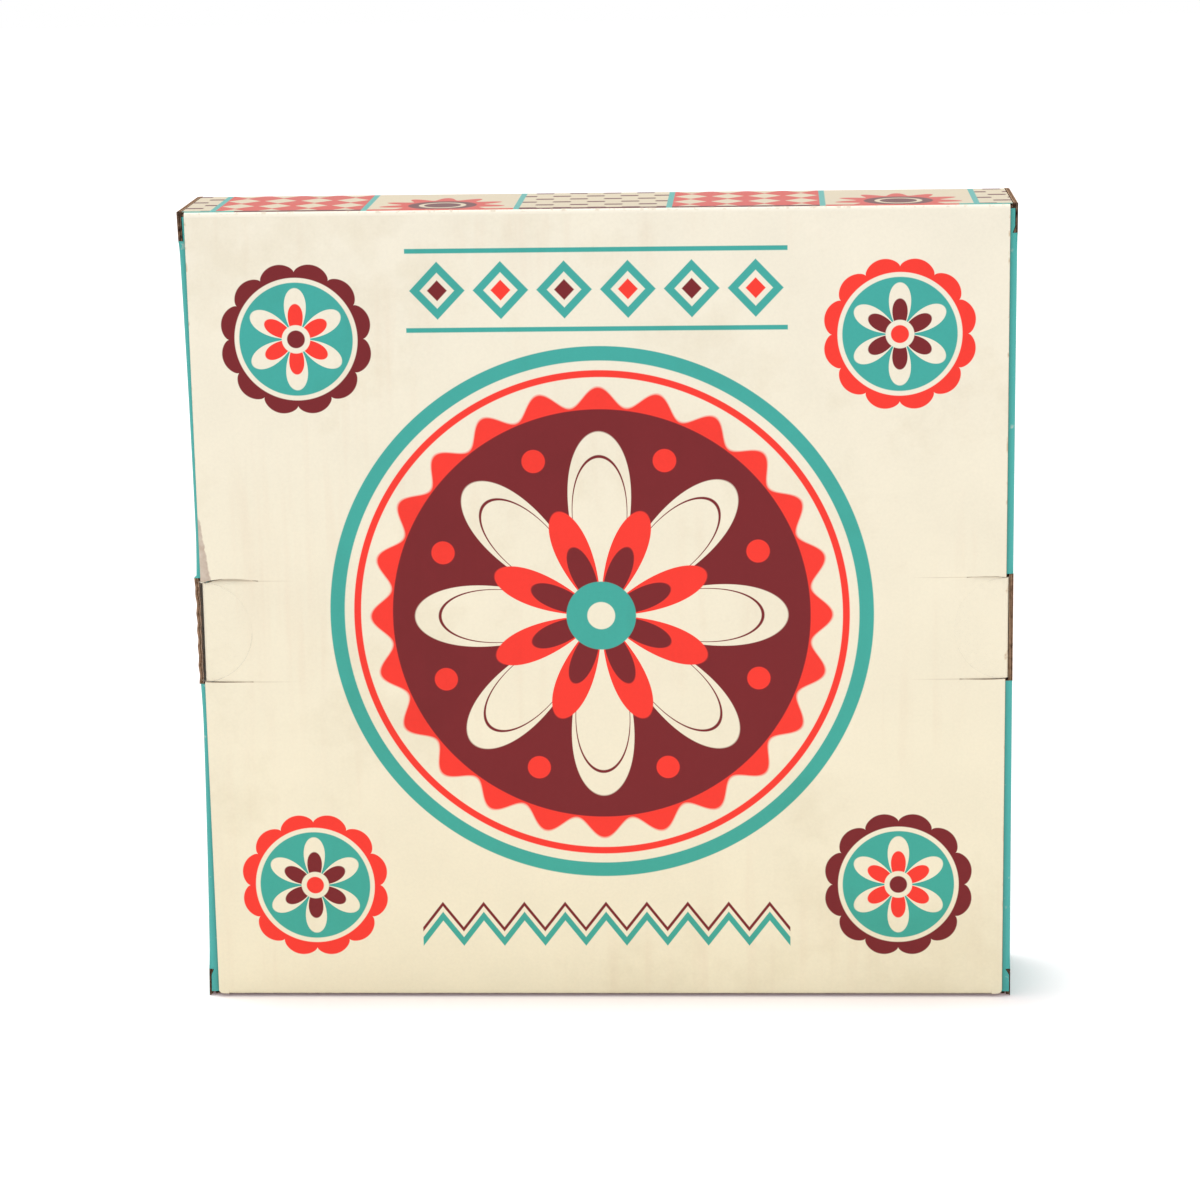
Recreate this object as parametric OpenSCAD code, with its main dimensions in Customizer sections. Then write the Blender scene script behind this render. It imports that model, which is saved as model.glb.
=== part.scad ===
// Four-player shut the box game in its closed mailer carton.
//
// The carton stands on its bottom wall, with its lid towards -Y and hinged along the
// top near edge. The wooden tray lies inside against the base panel, so the tray's own
// "up" is -Y. X = 0 and Y = 0 are the carton's middle, Z = 0 is what it stands on.

/* [Number tiles] */
// Number tiles in each of the four rows
tiles_per_row = 10; // [7:1:10]
// Width of a tile along its rod
tile_w = 16; // [12:0.5:18]
// Gap between two tiles on a rod
tile_gap = 0.6; // [0.4:0.1:1.5]
// Gap between the last tile of a row and the wall beside it
row_end_gap = 1.3; // [0.8:0.1:3]
// From the rod's axis to a tile's tip
tile_reach = 42; // [36:1:50]
// Thickness of a tile
tile_t = 8; // [6:0.5:9]
// Corner radius of a tile's tip, seen from above
tile_tip_r = 4; // [1:0.5:6]
// Bevel along the number face of a tile
tile_bevel = 0.8; // [0.3:0.1:1.2]
// How far a shut tile leans past upright, in degrees
tile_lean = 11; // [8:1:13]
// Gap between a shut tile and the top of the wall it leans on
lean_gap = 0.3; // [0.2:0.1:0.6]
// Gap under an open tile
tile_floor_gap = 0.3; // [0.2:0.1:1]

/* [Rods] */
// Diameter of the rods that carry the tiles
rod_d = 3; // [2:0.5:4]
// Radial clearance of a tile on its rod
tile_bore_gap = 0.15; // [0.05:0.05:0.3]
// Radial clearance of a rod in the walls
rod_wall_gap = 0.05; // [0.02:0.01:0.1]
// How far a rod's end stays inside the wall's outer face
rod_end_inset = 0.3; // [0:0.1:1]

/* [Tray] */
// Thickness of the tray's floor board
floor_t = 3; // [2:0.5:5]
// Thickness of the felt
felt_t = 0.6; // [0.4:0.1:1.5]
// Gap round the felt
felt_gap = 0.5; // [0.2:0.1:2]
// Thickness of the crossing inner walls
wall_t = 6; // [5:0.5:8]
// Height of the crossing inner walls above the felt
wall_h = 18.5; // [16:0.5:22]
// Radius of the inner walls' rounded ends
wall_end_r = 12; // [6:1:14]
// Gap between the inner walls' ends and the rails
wall_end_gap = 0.5; // [0.2:0.1:2]
// Clearance in the walls' half-lap joints
lap_gap = 0.1; // [0.05:0.05:0.3]
// Gap between an open tile's tip and the rail
tip_gap = 3.2; // [2:0.2:8]
// Width of the outer rails
rail_w = 9; // [8:0.5:14]
// Height of the outer rails
rail_h = 18; // [14:1:22]
// Radius on the rails' upper edges
rail_edge_r = 2; // [1:0.5:3]
// Width of the rebate that holds the floor board
rebate_w = 4; // [2:0.5:5]
// Glue gap in the rails' mitres and round the floor board
glue_gap = 0.1; // [0.05:0.05:0.3]

/* [Dice] */
// Side of a die
die_side = 16; // [12:1:18]
// Radius of the ball that rounds a die's corners, as a multiple of half its side
die_round = 1.42; // [1.3:0.02:1.6]
// Distance between the two dice
dice_space = 23; // [5:1:60]
// Distance of the dice from the tray's middle line
dice_shift = 14; // [0:1:35]

/* [Carton] */
// Thickness of the corrugated board
board_t = 1.5; // [1.2:0.1:2.5]
// Clearance each side of a board that is tucked between two plies
ply_gap = 0.25; // [0.15:0.05:0.6]
// Gap between the tray and each side wall
tray_side_gap = 1.5; // [0.5:0.5:6]
// Gap between the tray and the top wall
tray_head_gap = 4.5; // [1:0.5:12]
// Gap between a tile as it swings past upright and the closed lid
lid_head_gap = 0.9; // [0.6:0.1:5]
// Width of side wall spine that shows beside the lid
spine_show = 3; // [3:0.25:4.5]
// Length of the slit in the outer crease at each end of a spine
spine_slit_l = 11; // [5:1:25]
// Width of that slit
spine_slit_w = 0.4; // [0.2:0.1:1]
// Length of the dust flaps folded in between the side walls' plies
dust_flap_l = 92; // [50:1:110]
// Bevel at the dust flaps' free corners
dust_flap_bevel = 14; // [4:1:20]
// Width of the lock tabs that hold the inner plies in the base panel
lock_tab_w = 30; // [15:1:50]
// Clearance round a lock tab
lock_tab_gap = 0.2; // [0.1:0.1:0.6]

/* [Lid] */
// Gap between the lid's lower edge and the surface below
lid_edge_gap = 0.8; // [0.5:0.1:1.5]
// Corner radius at the lid's lower corners
lid_corner_r = 2; // [0.5:0.5:10]
// Width of the tab on each side of the lid
lid_tab_w = 40; // [20:1:60]
// How deep the lid's side tabs reach into the walls
lid_tab_l = 16; // [8:1:22]
// How far the tabs' middle lies below the carton's middle
lid_tab_drop = 7; // [0:1:30]
// Corner radius at the tabs' ends
lid_tab_r = 6; // [2:1:8]
// Gap at each end of a tab's slot
slot_end_gap = 1; // [0.8:0.1:3]
// Depth of the tuck flap
tuck_l = 25.5; // [18:0.5:28]
// Corner radius of the tuck flap
tuck_r = 12; // [4:1:16]
// Gap between the tuck flap and the side walls
tuck_side_gap = 2; // [1:0.5:8]
// Gap between the tuck flap and the bottom wall
tuck_floor_gap = 1.8; // [1.7:0.1:3]

/* [Seals] */
// Diameter of the round film seals over the lid's side edges
seal_d = 40; // [30:1:50]
// Thickness of the seal film
seal_t = 0.1; // [0.05:0.05:0.2]

/* [Hidden] */
$fn = 64;
// The gap at which a piece lies on its seat
seat_gap = 0.3;
// A small overrun, so that a cut passes its faces
over = 1;

// Heights in the tray, measured from the base panel's inner face
felt_top = floor_t + felt_t;
rod_height = felt_top + tile_floor_gap + tile_t / 2;
wall_top = felt_top + wall_h;

// Places in the tray, measured from its middle
tile_pitch = tile_w + tile_gap;
row_half = ((tiles_per_row - 1) * tile_pitch + tile_w) / 2;
well_half = row_half + row_end_gap;
wall_outer = well_half + wall_t;
rod_stand = (tile_t / 2 + lean_gap + (wall_top - rod_height) * sin(tile_lean)) / cos(tile_lean);
rod_place = wall_outer + rod_stand;
rail_inner = rod_place + tile_reach + tip_gap;
tray_half = rail_inner + rail_w;
wall_half_l = rail_inner - wall_end_gap;

// The carton, worked outwards from the tray
tile_swing = norm([tile_reach, tile_t / 2]);
inner_depth = rod_height + tile_swing + lid_head_gap;
carton_d = inner_depth + 2 * board_t;
pocket = board_t + 2 * ply_gap;
side_pack = 2 * board_t + pocket;
carton_w = 2 * (tray_half + tray_side_gap + side_pack);
carton_h = 2 * tray_half + seat_gap + tray_head_gap + 2 * board_t;
side_x = carton_w / 2;
lid_y = -carton_d / 2;
walls_y = lid_y + board_t;
base_in_y = carton_d / 2 - board_t;
tray_z = board_t + seat_gap + tray_half;
flap_z = board_t + tuck_floor_gap;
lid_half = side_x - spine_show;
tab_out_x = side_x - board_t - ply_gap;
tab_z = carton_h / 2 - lid_tab_drop;

ROWS = ["top", "right", "bottom", "left"];
CARTON_NODES = [
    "base_panel", "top_wall", "bottom_wall", "left_wall", "right_wall", "dust_flaps",
    "lid", "tuck_flap", "lid_seals", "wall_seals"
];
TRAY_NODES = ["floor_board", "felt", "frame_rails", "long_walls", "cross_walls", "rods", "die_1", "die_2"];
TILE_NODES = [for (row = ROWS, n = [1:tiles_per_row]) str(row, "_tile_", n)];

// ---------------------------------------------------------------- shared forms

// A rectangle from (0, -w/2) to (l, w/2) whose far corners are round
module tongue(l, w, r) {
    translate([0, -w / 2]) square([l - r, w]);
    translate([l - r - 0.01, r - w / 2]) square([r + 0.01, w - 2 * r]);
    for (s = [-1, 1]) translate([l - r, s * (w / 2 - r)]) circle(r);
}

// Turns the tray's own frame (x, y in its floor, z up from the base panel) into place
module in_tray() {
    translate([0, base_in_y, tray_z]) rotate([90, 0, 0]) children();
}

// Turns what is drawn for the top row (outwards is +y) to row number k
module at_row(k) {
    in_tray() rotate([0, 0, -90 * k]) children();
}

// Draws what is drawn for the right-hand side on both sides
module both_sides() {
    children();
    mirror([1, 0, 0]) children();
}

// ---------------------------------------------------------------- the carton

// The far side of the carton, with the slots that the inner plies lock into
module base_panel() {
    color([0.36, 0.69, 0.67]) difference() {
        translate([-side_x, base_in_y, 0]) cube([carton_w, board_t, carton_h]);
        both_sides() lock_tabs(lock_tab_gap, over);
    }
}

// The two lock tabs of one inner ply, grown by a gap for their slots
module lock_tabs(gap, past) {
    for (z = [carton_h / 4, carton_h * 3 / 4])
        translate([side_x - side_pack - gap, base_in_y - over, z - lock_tab_w / 2 - gap])
            cube([board_t + 2 * gap, board_t + over + past, lock_tab_w + 2 * gap]);
}

// Top and bottom walls lie between the side walls' outer plies
module end_wall(z) {
    translate([-tab_out_x, walls_y, z]) cube([2 * tab_out_x, base_in_y - walls_y, board_t]);
}

module top_wall() {
    color([0.93, 0.87, 0.76]) end_wall(carton_h - board_t);
}

module bottom_wall() {
    color([0.36, 0.69, 0.67]) end_wall(0);
}

// A roll-over side wall: outer ply, spine with its slits and its slot, inner ply
module side_wall() {
    end_gap = board_t + seat_gap;
    inner_h = carton_h - 2 * end_gap;
    color([0.36, 0.69, 0.67]) difference() {
        union() {
            translate([side_x - board_t, walls_y, 0])
                cube([board_t, base_in_y - walls_y, carton_h]);
            translate([side_x - side_pack, walls_y, end_gap])
                cube([side_pack, board_t, inner_h]);
            translate([side_x - side_pack, walls_y, end_gap])
                cube([board_t, base_in_y - walls_y - seat_gap, inner_h]);
            lock_tabs(0, 0);
        }
        spine_slot();
        spine_slit(0);
        spine_slit(carton_h - spine_slit_l);
    }
}

// The slot in the spine that the lid's side tab drops into
module spine_slot() {
    slot_l = lid_tab_w + 2 * slot_end_gap;
    translate([side_x - board_t - pocket, walls_y - over, tab_z - slot_l / 2])
        cube([pocket, board_t + over + 0.01, slot_l]);
}

// The slit that frees the spine from the outer ply at its end
module spine_slit(z) {
    translate([side_x - board_t - spine_slit_w, walls_y - over, z - 0.01])
        cube([spine_slit_w, board_t + over + 0.01, spine_slit_l + 0.02]);
}

module right_wall() {
    side_wall();
}

module left_wall() {
    mirror([1, 0, 0]) side_wall();
}

// Flaps of the top and bottom walls, folded in between the plies of the side walls
module dust_flaps() {
    depth = base_in_y - walls_y - board_t - 2 * seat_gap;
    outline = [
        [0, 0], [depth, 0], [depth, dust_flap_l - dust_flap_bevel],
        [depth - dust_flap_bevel, dust_flap_l], [dust_flap_bevel, dust_flap_l],
        [0, dust_flap_l - dust_flap_bevel]
    ];
    color([0.70, 0.55, 0.40]) both_sides() for (upper = [0, 1])
        translate([tab_out_x - board_t, walls_y + board_t + seat_gap, upper * carton_h])
            mirror([0, 0, upper]) translate([0, 0, board_t])
                rotate([90, 0, 90]) linear_extrude(board_t) polygon(outline);
}

// The lid's panel with its rounded lower corners and a bent tab on each side
module lid() {
    panel_h = carton_h - lid_edge_gap;
    color([0.95, 0.91, 0.82]) {
        translate([0, lid_y + board_t, carton_h]) rotate([90, 90, 0])
            linear_extrude(board_t) tongue(panel_h, 2 * lid_half, lid_corner_r);
        both_sides() lid_tab();
    }
}

// One side tab: it leaves the panel's edge, bends and reaches into the wall's pocket
module lid_tab() {
    root_x = lid_half - lid_tab_l;
    intersection() {
        translate([0, 0, tab_z - lid_tab_w / 2]) linear_extrude(lid_tab_w) {
            translate([root_x, lid_y]) square([tab_out_x - board_t - root_x, board_t]);
            translate([tab_out_x - board_t, lid_y + board_t]) circle(board_t);
            translate([tab_out_x - board_t, lid_y + board_t])
                square([board_t, lid_tab_l - board_t]);
        }
        translate([root_x, lid_y, tab_z]) rotate([90, 0, 90])
            linear_extrude(tab_out_x - root_x) tongue(lid_tab_l, lid_tab_w, lid_tab_r);
        union() {
            translate([root_x - over, lid_y - over, 0])
                cube([tab_out_x - root_x + 2 * over, board_t + over, carton_h]);
            translate([tab_out_x - board_t, lid_y - over, 0])
                cube([board_t + over, lid_tab_l + 2 * over, carton_h]);
        }
    }
}

// The tuck flap, folded in over the bottom wall
module tuck_flap() {
    half = side_x - side_pack - tuck_side_gap;
    color([0.95, 0.91, 0.82]) translate([0, walls_y, flap_z])
        rotate([0, 0, 90]) linear_extrude(board_t) tongue(tuck_l, 2 * half, tuck_r);
}

// The halves of the slit film seals that stay on the lid
module lid_seals() {
    color([0.90, 0.92, 0.93]) both_sides() translate([lid_half, lid_y, tab_z])
        rotate([90, 0, 0]) linear_extrude(seal_t) intersection() {
            circle(d = seal_d);
            translate([-seal_d, -seal_d]) square([seal_d, 2 * seal_d]);
        }
}

// The other halves, on the side walls' outer faces
module wall_seals() {
    color([0.90, 0.92, 0.93]) both_sides() translate([side_x, walls_y, tab_z])
        rotate([90, 0, 90]) linear_extrude(seal_t) intersection() {
            translate([-spine_show, 0]) circle(d = seal_d);
            translate([0, -seal_d]) square([seal_d, 2 * seal_d]);
        }
}

// ---------------------------------------------------------------- the tray

module floor_board() {
    half = rail_inner + rebate_w - glue_gap;
    color([0.72, 0.56, 0.36]) in_tray()
        translate([-half, -half, 0]) cube([2 * half, 2 * half, floor_t]);
}

module felt() {
    half = rail_inner - felt_gap;
    color([0.45, 0.10, 0.13]) in_tray()
        translate([-half, -half, floor_t]) cube([2 * half, 2 * half, felt_t]);
}

// The section of a rail: its outer face is at x = tray_half, its edges are eased
module rail_section() {
    difference() {
        union() {
            translate([rail_inner, 0]) square([rail_w, rail_h - rail_edge_r]);
            translate([rail_inner + rail_edge_r, 0]) square([rail_w - 2 * rail_edge_r, rail_h]);
            for (x = [rail_inner + rail_edge_r, tray_half - rail_edge_r])
                translate([x, rail_h - rail_edge_r]) circle(rail_edge_r);
        }
        translate([rail_inner - over, -over]) square([rebate_w + over, floor_t + over]);
    }
}

// Four rails with mitred corners, one glue gap apart
module frame_rails() {
    mitre = tray_half - glue_gap / 2;
    color([0.80, 0.16, 0.13]) for (k = [0:3]) at_row(k)
        intersection() {
            rotate([90, 0, 90]) translate([0, 0, -tray_half])
                linear_extrude(2 * tray_half) rail_section();
            linear_extrude(rail_h + over)
                polygon([[0, glue_gap / 2], [mitre, tray_half], [-mitre, tray_half]]);
        }
}

// The side view of an inner wall: x along it, y up from the felt
module wall_side() {
    low = wall_h - wall_end_r;
    for (m = [0, 1]) mirror([m, 0]) {
        square([wall_half_l, low]);
        square([wall_half_l - wall_end_r, wall_h]);
        translate([wall_half_l - wall_end_r, low]) circle(wall_end_r);
    }
}

// One inner wall along x at y = well_half; lap_up says from which side its laps are cut
module inner_wall(lap_up) {
    lap_l = wall_t + 2 * lap_gap;
    translate([0, wall_outer, felt_top]) rotate([90, 0, 0]) difference() {
        intersection() {
            linear_extrude(wall_t) wall_side();
            translate([-wall_half_l, 0, -over]) cube([2 * wall_half_l, wall_h, wall_t + 2 * over]);
        }
        for (s = [-1, 1]) {
            translate([s * (well_half + wall_t / 2) - lap_l / 2, 0, -over])
                translate([0, lap_up ? wall_h / 2 - lap_gap : -over, 0])
                    cube([lap_l, wall_h / 2 + lap_gap + over, wall_t + 2 * over]);
            translate([s * rod_place, rod_height - felt_top, -over])
                cylinder(h = wall_t + 2 * over, r = rod_d / 2 + rod_wall_gap);
        }
    }
}

// The two walls along X, lapped over the walls along Z
module cross_walls() {
    color([0.94, 0.90, 0.80]) for (k = [0, 2]) at_row(k) inner_wall(false);
}

// The two walls along Z, with their laps cut from above
module long_walls() {
    color([0.94, 0.90, 0.80]) for (k = [1, 3]) at_row(k) inner_wall(true);
}

// A rod for each row, held in the ends of the walls that cross it
module rods() {
    half = wall_outer - rod_end_inset;
    color([0.55, 0.50, 0.45]) for (k = [0:3]) at_row(k)
        translate([-half, rod_place, rod_height]) rotate([0, 90, 0])
            cylinder(h = 2 * half, d = rod_d);
}

// A number tile lying open: the rod's axis is the x axis, its tip points along +y
module tile_form() {
    r = tile_t / 2;
    difference() {
        intersection() {
            translate([-tile_w / 2, 0, 0]) rotate([90, 0, 90]) linear_extrude(tile_w) {
                circle(r);
                translate([0, -r]) square([tile_reach, tile_t - tile_bevel]);
                translate([0, -r]) square([tile_reach - tile_bevel, tile_t]);
                translate([tile_reach - tile_bevel, r - tile_bevel]) circle(tile_bevel);
            }
            translate([0, -r, -r - over]) rotate([0, 0, 90]) linear_extrude(tile_t + 2 * over)
                tongue(tile_reach + r, tile_w, tile_tip_r);
        }
        translate([-tile_w / 2 - over, 0, 0]) rotate([0, 90, 0])
            cylinder(h = tile_w + 2 * over, r = rod_d / 2 + tile_bore_gap);
        for (s = [-1, 1]) translate([s * tile_w / 2, -r - over, r])
            rotate([0, 45, 0]) translate([-tile_bevel / sqrt(2), 0, -tile_bevel / sqrt(2)])
                cube([tile_bevel * sqrt(2), tile_reach + tile_t, tile_bevel * sqrt(2)]);
    }
}

// Tile number n of row k: each player reads the numbers from left to right
module tile(k, n) {
    place = ((tiles_per_row + 1) / 2 - n) * tile_pitch;
    color([0.95, 0.91, 0.82]) at_row(k) translate([place, rod_place, rod_height]) tile_form();
}

// A die with ball-rounded corners, on the felt and against the wall below it
module die(x) {
    low = -well_half + seat_gap + die_side / 2;
    color([0.95, 0.92, 0.84]) in_tray()
        translate([x, low, felt_top + seat_gap + die_side / 2]) intersection() {
            cube(die_side, center = true);
            sphere(r = die_side / 2 * die_round);
        }
}

module die_1() {
    die(dice_shift - dice_space / 2 - die_side / 2);
}

module die_2() {
    die(dice_shift + dice_space / 2 + die_side / 2);
}

base_panel();
top_wall();
bottom_wall();
left_wall();
right_wall();
dust_flaps();
lid();
tuck_flap();
lid_seals();
wall_seals();
floor_board();
felt();
frame_rails();
long_walls();
cross_walls();
rods();
die_1();
die_2();
for (k = [0:3], n = [1:tiles_per_row])
    tile(k, n);
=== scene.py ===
"""Shut the box game in its closed mailer carton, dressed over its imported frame. Metres."""
import math

import bmesh
import bpy
from mathutils import Matrix, Vector


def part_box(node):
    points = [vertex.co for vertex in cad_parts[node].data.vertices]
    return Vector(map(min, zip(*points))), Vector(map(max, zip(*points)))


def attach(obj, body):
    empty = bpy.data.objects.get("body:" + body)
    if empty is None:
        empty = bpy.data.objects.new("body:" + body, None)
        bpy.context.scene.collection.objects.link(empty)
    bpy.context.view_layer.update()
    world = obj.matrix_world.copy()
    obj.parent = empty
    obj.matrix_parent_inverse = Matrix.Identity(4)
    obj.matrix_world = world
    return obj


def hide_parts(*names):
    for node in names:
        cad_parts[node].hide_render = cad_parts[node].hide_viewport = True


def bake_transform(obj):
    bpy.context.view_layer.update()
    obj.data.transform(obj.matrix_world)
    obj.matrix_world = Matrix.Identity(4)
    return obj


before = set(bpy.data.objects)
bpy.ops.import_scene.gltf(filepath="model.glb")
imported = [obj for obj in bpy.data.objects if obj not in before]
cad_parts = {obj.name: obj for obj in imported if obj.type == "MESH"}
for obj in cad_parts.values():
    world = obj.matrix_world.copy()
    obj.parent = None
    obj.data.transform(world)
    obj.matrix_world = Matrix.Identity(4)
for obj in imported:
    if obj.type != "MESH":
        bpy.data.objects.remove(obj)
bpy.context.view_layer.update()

# ---------------------------------------------------------------- camera, light and floor
# The photograph's viewpoint: a long lens about four widths away, a little above the carton.
# White studio: an even white surround, a soft light from overhead, and a floor exposed to
# white, on which only the carton's own short shadow shows.
camera_data = bpy.data.cameras.new("camera")
camera_data.lens = 106.09
camera_data.sensor_width = 36
camera = bpy.data.objects.new("camera", camera_data)
camera.location = (0.0664, -1.3471, 0.4626)
camera.rotation_euler = [math.radians(a) for a in (77.111, 0.917, 2.686)]
bpy.context.scene.collection.objects.link(camera)
bpy.context.scene.camera = camera
bpy.context.scene.view_settings.view_transform = "Standard"


class Field:
    """A value in a node tree. Sums of fields make Math nodes, and node() makes any other."""

    def __init__(self, tree, socket):
        self.tree, self.socket = tree, socket

    def node(self, kind, inputs=(), output=0, **settings):
        made = self.tree.nodes.new("ShaderNode" + kind)
        for key, value in settings.items():
            setattr(made, key, value)
        for key, value in dict(inputs).items():
            if isinstance(value, Field):
                self.tree.links.new(value.socket, made.inputs[key])
            else:
                made.inputs[key].default_value = value
        return Field(self.tree, made.outputs[output])

    def maths(self, operation, *others):
        return self.node("Math", enumerate((self,) + others), operation=operation)

    def __add__(self, other):
        return self.maths("ADD", other)

    def __sub__(self, other):
        return self.maths("SUBTRACT", other)

    def __rsub__(self, other):
        return self.node("Math", {0: other, 1: self}, operation="SUBTRACT")

    def __mul__(self, other):
        return self.maths("MULTIPLY", other)

    def __truediv__(self, other):
        return self.maths("DIVIDE", other)

    def __pow__(self, other):
        return self.maths("POWER", other)

    def __abs__(self):
        return self.maths("ABSOLUTE")

    def __and__(self, other):
        return self.maths("MINIMUM", other)

    def __or__(self, other):
        return self.maths("MAXIMUM", other)

    __radd__, __rmul__ = __add__, __mul__

    def xyz(self):
        return [self.node("SeparateXYZ", {0: self}, output=k) for k in range(3)]

    def within(self, edge, soft=0.0003):
        """1 where the field is under edge, 0 above it."""
        return self.node("MapRange", {0: self, 1: edge - soft, 2: edge + soft, 3: 1.0, 4: 0.0})

    def noise(self, scale, detail=3.0, output=0, **inputs):
        inputs = {"Vector": self, "Scale": scale, "Detail": detail, **inputs}
        return self.node("TexNoise", inputs, output=output)

    def mix(self, low, high):
        """The colour low where the field is 0 and high where it is 1."""
        return self.node("Mix", {0: self, 6: low, 7: high}, output=2, data_type="RGBA")


def rgb(red, green, blue):
    """A screen colour, 0 to 255, as the linear colour that shaders use."""
    return tuple((c / 255 / 12.92) if c < 10.3 else ((c / 255 + 0.055) / 1.055) ** 2.4
                 for c in (red, green, blue)) + (1.0,)


world = bpy.data.worlds.new("studio")
world.use_nodes = True
bpy.context.scene.world = world
tree = world.node_tree
back = tree.nodes["Background"]
seen = Field(tree, tree.nodes.new("ShaderNodeLightPath").outputs["Is Camera Ray"])
tree.links.new(seen.mix((0.83, 0.83, 0.83, 1), (1, 1, 1, 1)).socket, back.inputs["Color"])

key_data = bpy.data.lights.new("key", "SUN")
key_data.energy = 1.3
key_data.angle = math.radians(8.5)
key = bpy.data.objects.new("key", key_data)
key.rotation_euler = Vector((0.07, -0.04, -1.0)).to_track_quat("-Z", "Y").to_euler()
bpy.context.scene.collection.objects.link(key)


def surface(name, **constants):
    """A material, its object coordinates, its flat (UV) coordinates and its shader node."""
    made = bpy.data.materials.new(name)
    made.use_nodes = True
    shader = made.node_tree.nodes["Principled BSDF"]
    for key, value in constants.items():
        shader.inputs[key.replace("_", " ")].default_value = value
    places = made.node_tree.nodes.new("ShaderNodeTexCoord")
    return (made, Field(made.node_tree, places.outputs["Object"]),
            Field(made.node_tree, places.outputs["UV"]), shader)


def dress(made, shader, **inputs):
    """Links fields to the shader's inputs; height is a bump in metres."""
    height = inputs.pop("height", None)
    if height:
        inputs["Normal"] = height.node("Bump", {"Height": height, "Distance": 1.0, "Strength": 0.8})
    for key, value in inputs.items():
        made.node_tree.links.new(value.socket, shader.inputs[key.replace("_", " ")])
    return made


def mesh_piece(name, bm, *materials):
    """Makes the bmesh an object at the origin with these materials."""
    mesh = bpy.data.meshes.new(name)
    bm.to_mesh(mesh)
    bm.free()
    for made in materials:
        mesh.materials.append(made)
    piece = bpy.data.objects.new(name, mesh)
    bpy.context.scene.collection.objects.link(piece)
    return piece


floor_paint, at, flat, shader = surface("floor_paint", Roughness=0.6, Specular_IOR_Level=0.0,
                                        Emission_Strength=1.0)
seen = at.node("LightPath")
dress(floor_paint, shader, Base_Color=at.noise(3.0).mix((0.93, 0.93, 0.93, 1), (0.94, 0.94, 0.94, 1)),
      Emission_Color=seen.mix((0, 0, 0, 1), (0.17, 0.12, 0.125, 1)))
bm = bmesh.new()
bmesh.ops.create_grid(bm, x_segments=8, y_segments=8, size=6)
floor = mesh_piece("studio_floor", bm, floor_paint)


# ---------------------------------------------------------------- carton board
# The carton is one die-cut blank of corrugated board: printed liner outside, kraft liner
# inside and a fluted core between, which shows at the raw ends. Each panel is laid flat and
# then bent round its folds; the side walls' near edges bow in, as tucked walls do.
(_, base_y, _), (side_x, back_y, top_z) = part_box("base_panel")
near_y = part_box("right_wall")[0][1]
thick = back_y - base_y
lid_y = near_y - thick
tab_z = (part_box("lid_seals")[0][2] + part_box("lid_seals")[1][2]) / 2
lid_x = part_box("lid_seals")[1][0]
ply_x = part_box("right_wall")[0][0]
wall_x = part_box("top_wall")[1][0]
fold_r = 0.0019
liner, core, flute, flute_high = 0.00025, 0.0002, 0.0036, 0.0004


def lines(*spans):
    """Grid lines from spans (start, end, longest step), sorted, without doubles."""
    found = set()
    for start, end, step in spans:
        count = max(1, math.ceil(abs(end - start) / step - 1e-6))
        found |= {round(start + (end - start) * k / count, 7) for k in range(count + 1)}
    return sorted(found)


def track(start, heading, runs):
    """A strip's path that turns right at the end of each run: (u, w) -> point, and its folds in u."""
    point, turn, u, pieces, folds = Vector(start), math.radians(heading), 0.0, [], []
    for k, run in enumerate(runs):
        way = Vector((math.cos(turn), math.sin(turn)))
        right = Vector((way.y, -way.x))
        length = run - (fold_r if k else 0) - (fold_r if k < len(runs) - 1 else 0)
        pieces.append((u, u + length, point.copy(), way, right, None))
        point, u = point + way * length, u + length
        if k < len(runs) - 1:
            arc = fold_r * math.pi / 2
            pieces.append((u, u + arc, point + right * fold_r, way, right, True))
            folds.append((u, u + arc))
            point, u, turn = point + (way + right) * fold_r, u + arc, turn - math.pi / 2

    def place(u, w):
        for low, high, origin, way, right, bent in pieces:
            if u <= high + 1e-9 or high == pieces[-1][1]:
                if not bent:
                    return origin + way * (u - low) + right * w
                angle = (u - low) / fold_r
                return origin + (way * math.sin(angle) - right * math.cos(angle)) * (fold_r - w)

    return place, folds, u


def bowed(x, y, z, flare=0.0):
    """A side wall's point, moved in by the wall's bow; the outer ply flares out again at the slot."""
    bow, ease = (0.0021, 0.0008) if x < 0 else (0.0003, 0.0)
    amount = bow * (1 - (2 * z / top_z - 1) ** 2) - flare * ease * math.exp(-((z - tab_z) / 0.027) ** 4)
    deep = min(1, max(0, (base_y - y) / (base_y - near_y)))
    return Vector((x - math.copysign(amount * deep, x), y, z))


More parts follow.
